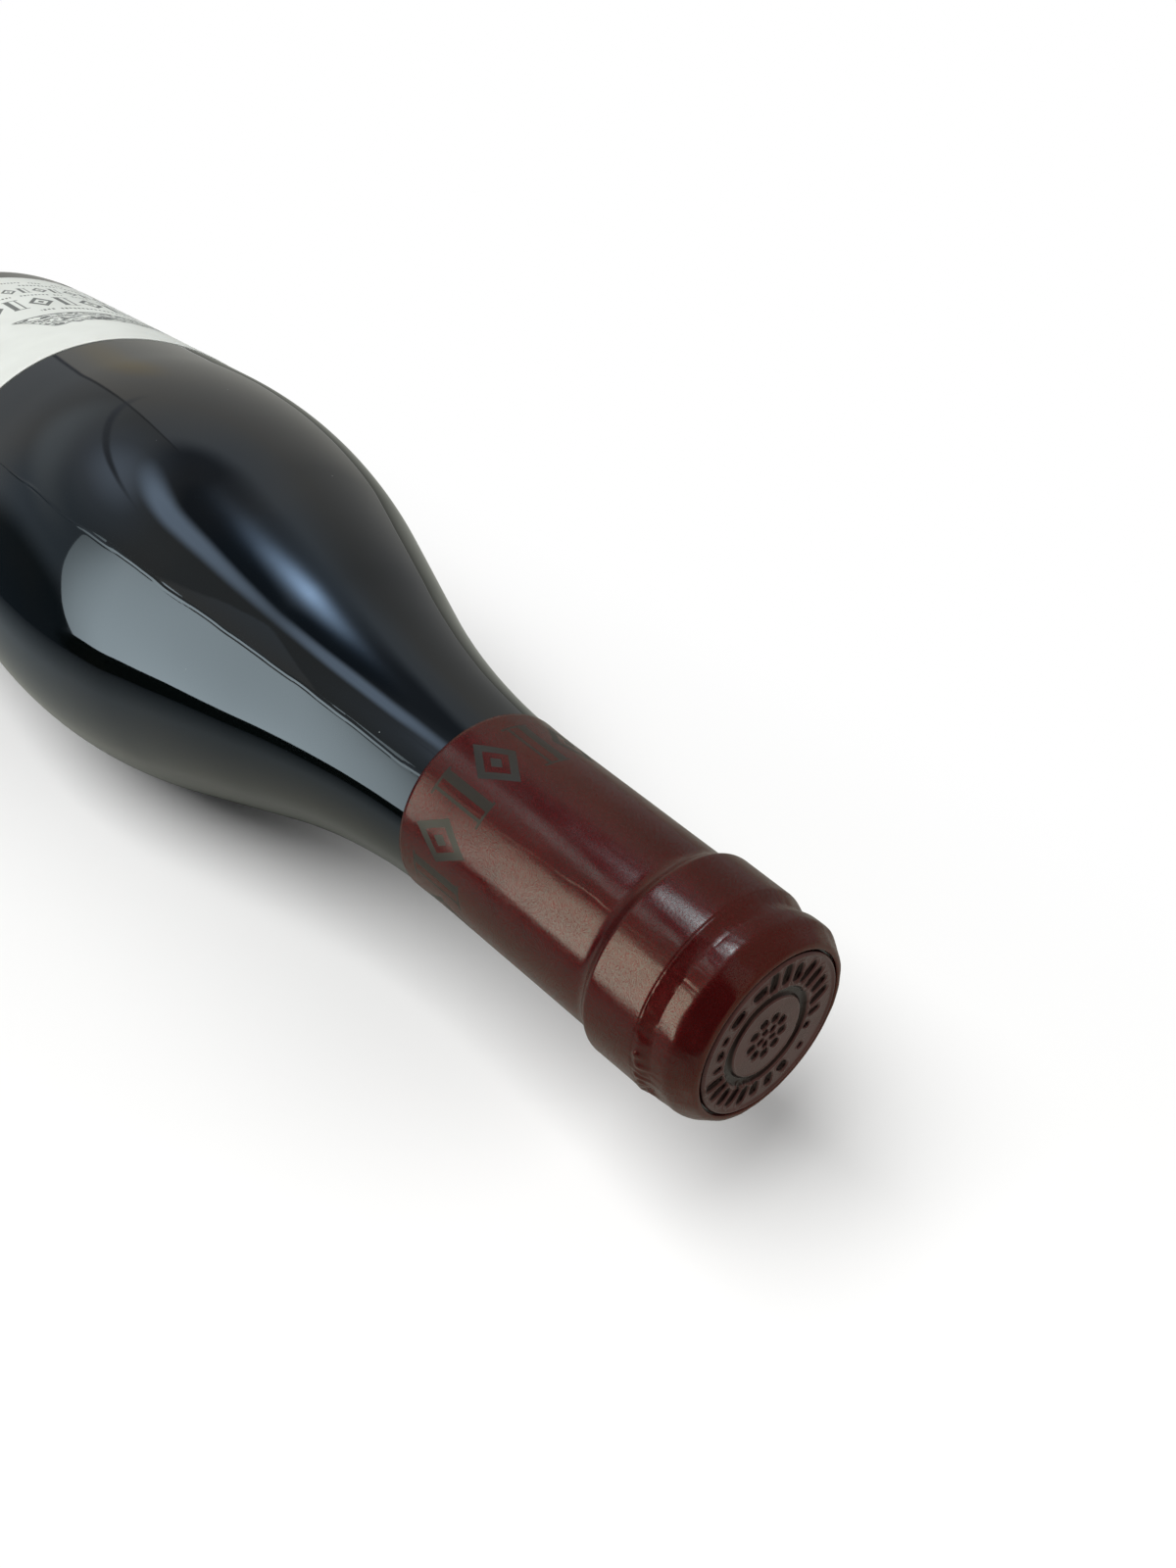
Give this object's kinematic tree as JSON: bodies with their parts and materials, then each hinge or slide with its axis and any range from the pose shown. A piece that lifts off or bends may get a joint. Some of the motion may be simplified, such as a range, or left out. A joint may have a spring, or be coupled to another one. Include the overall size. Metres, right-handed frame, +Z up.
{
  "type": "wine bottle",
  "caption": "Full Burgundy-shaped wine bottle lying on its side, dark glass, with a paper front label and a shrunk red capsule over the sealed mouth.",
  "frame": {"origin": "on the ground, under the middle of the lying bottle's length and width", "axes": "+X along the bottle's long axis towards the mouth, +Z up, +Y to the side that the label faces"},
  "size_m": [0.2912, 0.0856, 0.0854],
  "materials": {
    "dark_glass": "smooth blown glass, near black with a cold green-blue cast, glossy",
    "capsule_film": "shrunk film, wine red, satin gloss, with fine shrink wrinkles",
    "capsule_disc": "stamped disc, dull wine red, satin",
    "label_paper": "uncoated off-white label paper with dark print"
  },
  "bodies": {
    "root": {"bottle_glass": "dark_glass", "capsule_sleeve": "capsule_film", "capsule_top": "capsule_disc", "front_label": "label_paper"}
  },
  "joints": []
}
